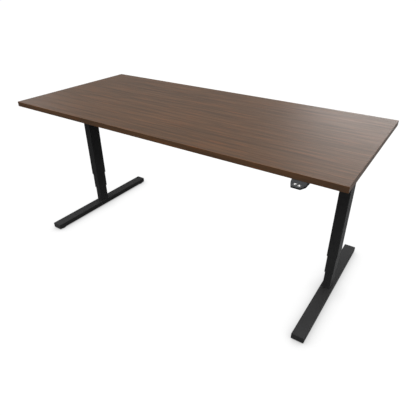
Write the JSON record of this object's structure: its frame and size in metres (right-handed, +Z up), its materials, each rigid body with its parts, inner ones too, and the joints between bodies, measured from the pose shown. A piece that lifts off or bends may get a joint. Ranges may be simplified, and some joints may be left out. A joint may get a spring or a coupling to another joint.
{
  "type": "height adjustable standing desk",
  "caption": "Rectangular wood-topped desk on motor-driven telescopic lifting columns, with bar feet, levelling pads and an up and down handset under its front edge.",
  "frame": {"origin": "on the floor, under the middle of the desk's plan, the handset's reach past the front edge included", "axes": "+X to the seated user's right along the desk, +Y away from the user, +Z up"},
  "size_m": [1.8, 0.8324, 0.805],
  "materials": {
    "walnut_board": "satin walnut face",
    "walnut_band": "satin walnut edge band",
    "black_frame": "fine-textured black powder coat",
    "black_moulding": "matt black moulding",
    "handset_grey": "dark grey moulding",
    "button_grey": "dark grey keys with white arrows",
    "pad_rubber": "black rubber",
    "zinc_fastener": "zinc plated",
    "spindle_steel": "rolled steel",
    "bearing_steel": "polished races",
    "cast_alloy": "die cast",
    "white_acetal": "natural acetal",
    "motor_black": "black can"
  },
  "bodies": {
    "left_base": {"left_inner_tube": "black_frame", "left_lower_nut": "white_acetal", "left_inner_glides": "white_acetal", "left_foot_beam": "black_frame", "left_foot_end_caps": "black_moulding", "left_foot_bolts": "zinc_fastener"},
    "left_middle": {"left_middle_tube": "black_frame", "left_middle_carrier": "white_acetal", "left_upper_nut": "white_acetal", "left_lower_spindle_bearing": "bearing_steel", "left_middle_glides": "white_acetal"},
    "desk": {"desktop_board": "walnut_board", "long_edge_bands": "walnut_band", "short_edge_bands": "walnut_band", "front_rail": "black_frame", "rear_rail": "black_frame", "frame_bolts": "zinc_fastener", "desktop_screws": "zinc_fastener", "outer_tube_glides": "white_acetal", "control_box_base": "black_moulding", "control_box_cover": "black_moulding", "handset_housing": "handset_grey", "handset_cover": "handset_grey", "left_side_bracket": "black_frame", "left_gear_case": "cast_alloy", "left_gear_cover": "cast_alloy", "left_motor": "motor_black", "left_head_bearing": "bearing_steel", "left_outer_tube": "black_frame", "right_side_bracket": "black_frame", "right_gear_case": "cast_alloy", "right_gear_cover": "cast_alloy", "right_motor": "motor_black", "right_head_bearing": "bearing_steel", "right_outer_tube": "black_frame"},
    "right_middle": {"right_middle_tube": "black_frame", "right_middle_carrier": "white_acetal", "right_upper_nut": "white_acetal", "right_lower_spindle_bearing": "bearing_steel", "right_middle_glides": "white_acetal"},
    "right_base": {"right_inner_tube": "black_frame", "right_lower_nut": "white_acetal", "right_inner_glides": "white_acetal", "right_foot_beam": "black_frame", "right_foot_end_caps": "black_moulding", "right_foot_bolts": "zinc_fastener"},
    "left_upper_drive": {"left_upper_spindle": "spindle_steel", "left_spindle_gear": "white_acetal"},
    "left_lower_drive": {"left_lower_spindle": "spindle_steel"},
    "left_pinion": {"left_motor_pinion": "spindle_steel"},
    "left_front_levelling_foot": {"left_front_leveller": "pad_rubber"},
    "left_rear_levelling_foot": {"left_rear_leveller": "pad_rubber"},
    "right_upper_drive": {"right_upper_spindle": "spindle_steel", "right_spindle_gear": "white_acetal"},
    "right_lower_drive": {"right_lower_spindle": "spindle_steel"},
    "right_pinion": {"right_motor_pinion": "spindle_steel"},
    "right_front_levelling_foot": {"right_front_leveller": "pad_rubber"},
    "right_rear_levelling_foot": {"right_rear_leveller": "pad_rubber"},
    "down_key": {"down_button": "button_grey"},
    "up_key": {"up_button": "button_grey"}
  },
  "joints": [
    {"name": "left_lower_lift", "type": "slide", "parent": "left_base", "child": "left_middle", "axis": [0, 0, 1], "range_m": [-0.095, 0.225]},
    {"name": "left_upper_lift", "type": "slide", "parent": "left_middle", "child": "desk", "axis": [0, 0, 1], "range_m": [-0.095, 0.225]},
    {"name": "right_upper_lift", "type": "slide", "parent": "desk", "child": "right_middle", "axis": [0, 0, -1], "range_m": [-0.095, 0.225]},
    {"name": "right_lower_lift", "type": "slide", "parent": "right_middle", "child": "right_base", "axis": [0, 0, -1], "range_m": [-0.095, 0.225]},
    {"name": "left_upper_spindle_turn", "type": "hinge", "parent": "desk", "child": "left_upper_drive", "pos_m": [-0.813, 0.01625, 0.5], "axis": [0, 0, 1], "continuous": true},
    {"name": "left_lower_spindle_turn", "type": "hinge", "parent": "left_middle", "child": "left_lower_drive", "pos_m": [-0.813, 0.01625, 0.5], "axis": [0, 0, 1], "continuous": true},
    {"name": "left_pinion_turn", "type": "hinge", "parent": "desk", "child": "left_pinion", "pos_m": [-0.768, 0.01625, 0.75], "axis": [0, 0, 1], "continuous": true},
    {"name": "right_upper_spindle_turn", "type": "hinge", "parent": "desk", "child": "right_upper_drive", "pos_m": [0.813, 0.01625, 0.5], "axis": [0, 0, 1], "continuous": true},
    {"name": "right_lower_spindle_turn", "type": "hinge", "parent": "right_middle", "child": "right_lower_drive", "pos_m": [0.813, 0.01625, 0.5], "axis": [0, 0, 1], "continuous": true},
    {"name": "right_pinion_turn", "type": "hinge", "parent": "desk", "child": "right_pinion", "pos_m": [0.768, 0.01625, 0.75], "axis": [0, 0, 1], "continuous": true},
    {"name": "left_front_foot_screw", "type": "slide", "parent": "left_base", "child": "left_front_levelling_foot", "axis": [0, 0, -1], "range_m": [0, 0.01]},
    {"name": "left_rear_foot_screw", "type": "slide", "parent": "left_base", "child": "left_rear_levelling_foot", "axis": [0, 0, -1], "range_m": [0, 0.01]},
    {"name": "right_front_foot_screw", "type": "slide", "parent": "right_base", "child": "right_front_levelling_foot", "axis": [0, 0, -1], "range_m": [0, 0.01]},
    {"name": "right_rear_foot_screw", "type": "slide", "parent": "right_base", "child": "right_rear_levelling_foot", "axis": [0, 0, -1], "range_m": [0, 0.01]},
    {"name": "down_key_press", "type": "slide", "parent": "desk", "child": "down_key", "axis": [0, -0.1064, 0.9943], "range_m": [-0.0012, 0], "stiffness_N_per_m": 500, "springref_m": 0.0015},
    {"name": "up_key_press", "type": "slide", "parent": "desk", "child": "up_key", "axis": [0, -0.1064, 0.9943], "range_m": [-0.0012, 0], "stiffness_N_per_m": 500, "springref_m": 0.0015}
  ],
  "couplings": [
    {"joint": "left_upper_lift", "follows": "left_lower_lift", "ratio": 1},
    {"joint": "right_upper_lift", "follows": "left_lower_lift", "ratio": 1},
    {"joint": "right_lower_lift", "follows": "left_lower_lift", "ratio": 1},
    {"joint": "left_upper_spindle_turn", "follows": "left_lower_lift", "rad_per_m": 785.4},
    {"joint": "left_lower_spindle_turn", "follows": "left_lower_lift", "rad_per_m": 785.4},
    {"joint": "left_pinion_turn", "follows": "left_lower_lift", "rad_per_m": -2356.2},
    {"joint": "right_upper_spindle_turn", "follows": "left_lower_lift", "rad_per_m": 785.4},
    {"joint": "right_lower_spindle_turn", "follows": "left_lower_lift", "rad_per_m": 785.4},
    {"joint": "right_pinion_turn", "follows": "left_lower_lift", "rad_per_m": -2356.2}
  ]
}
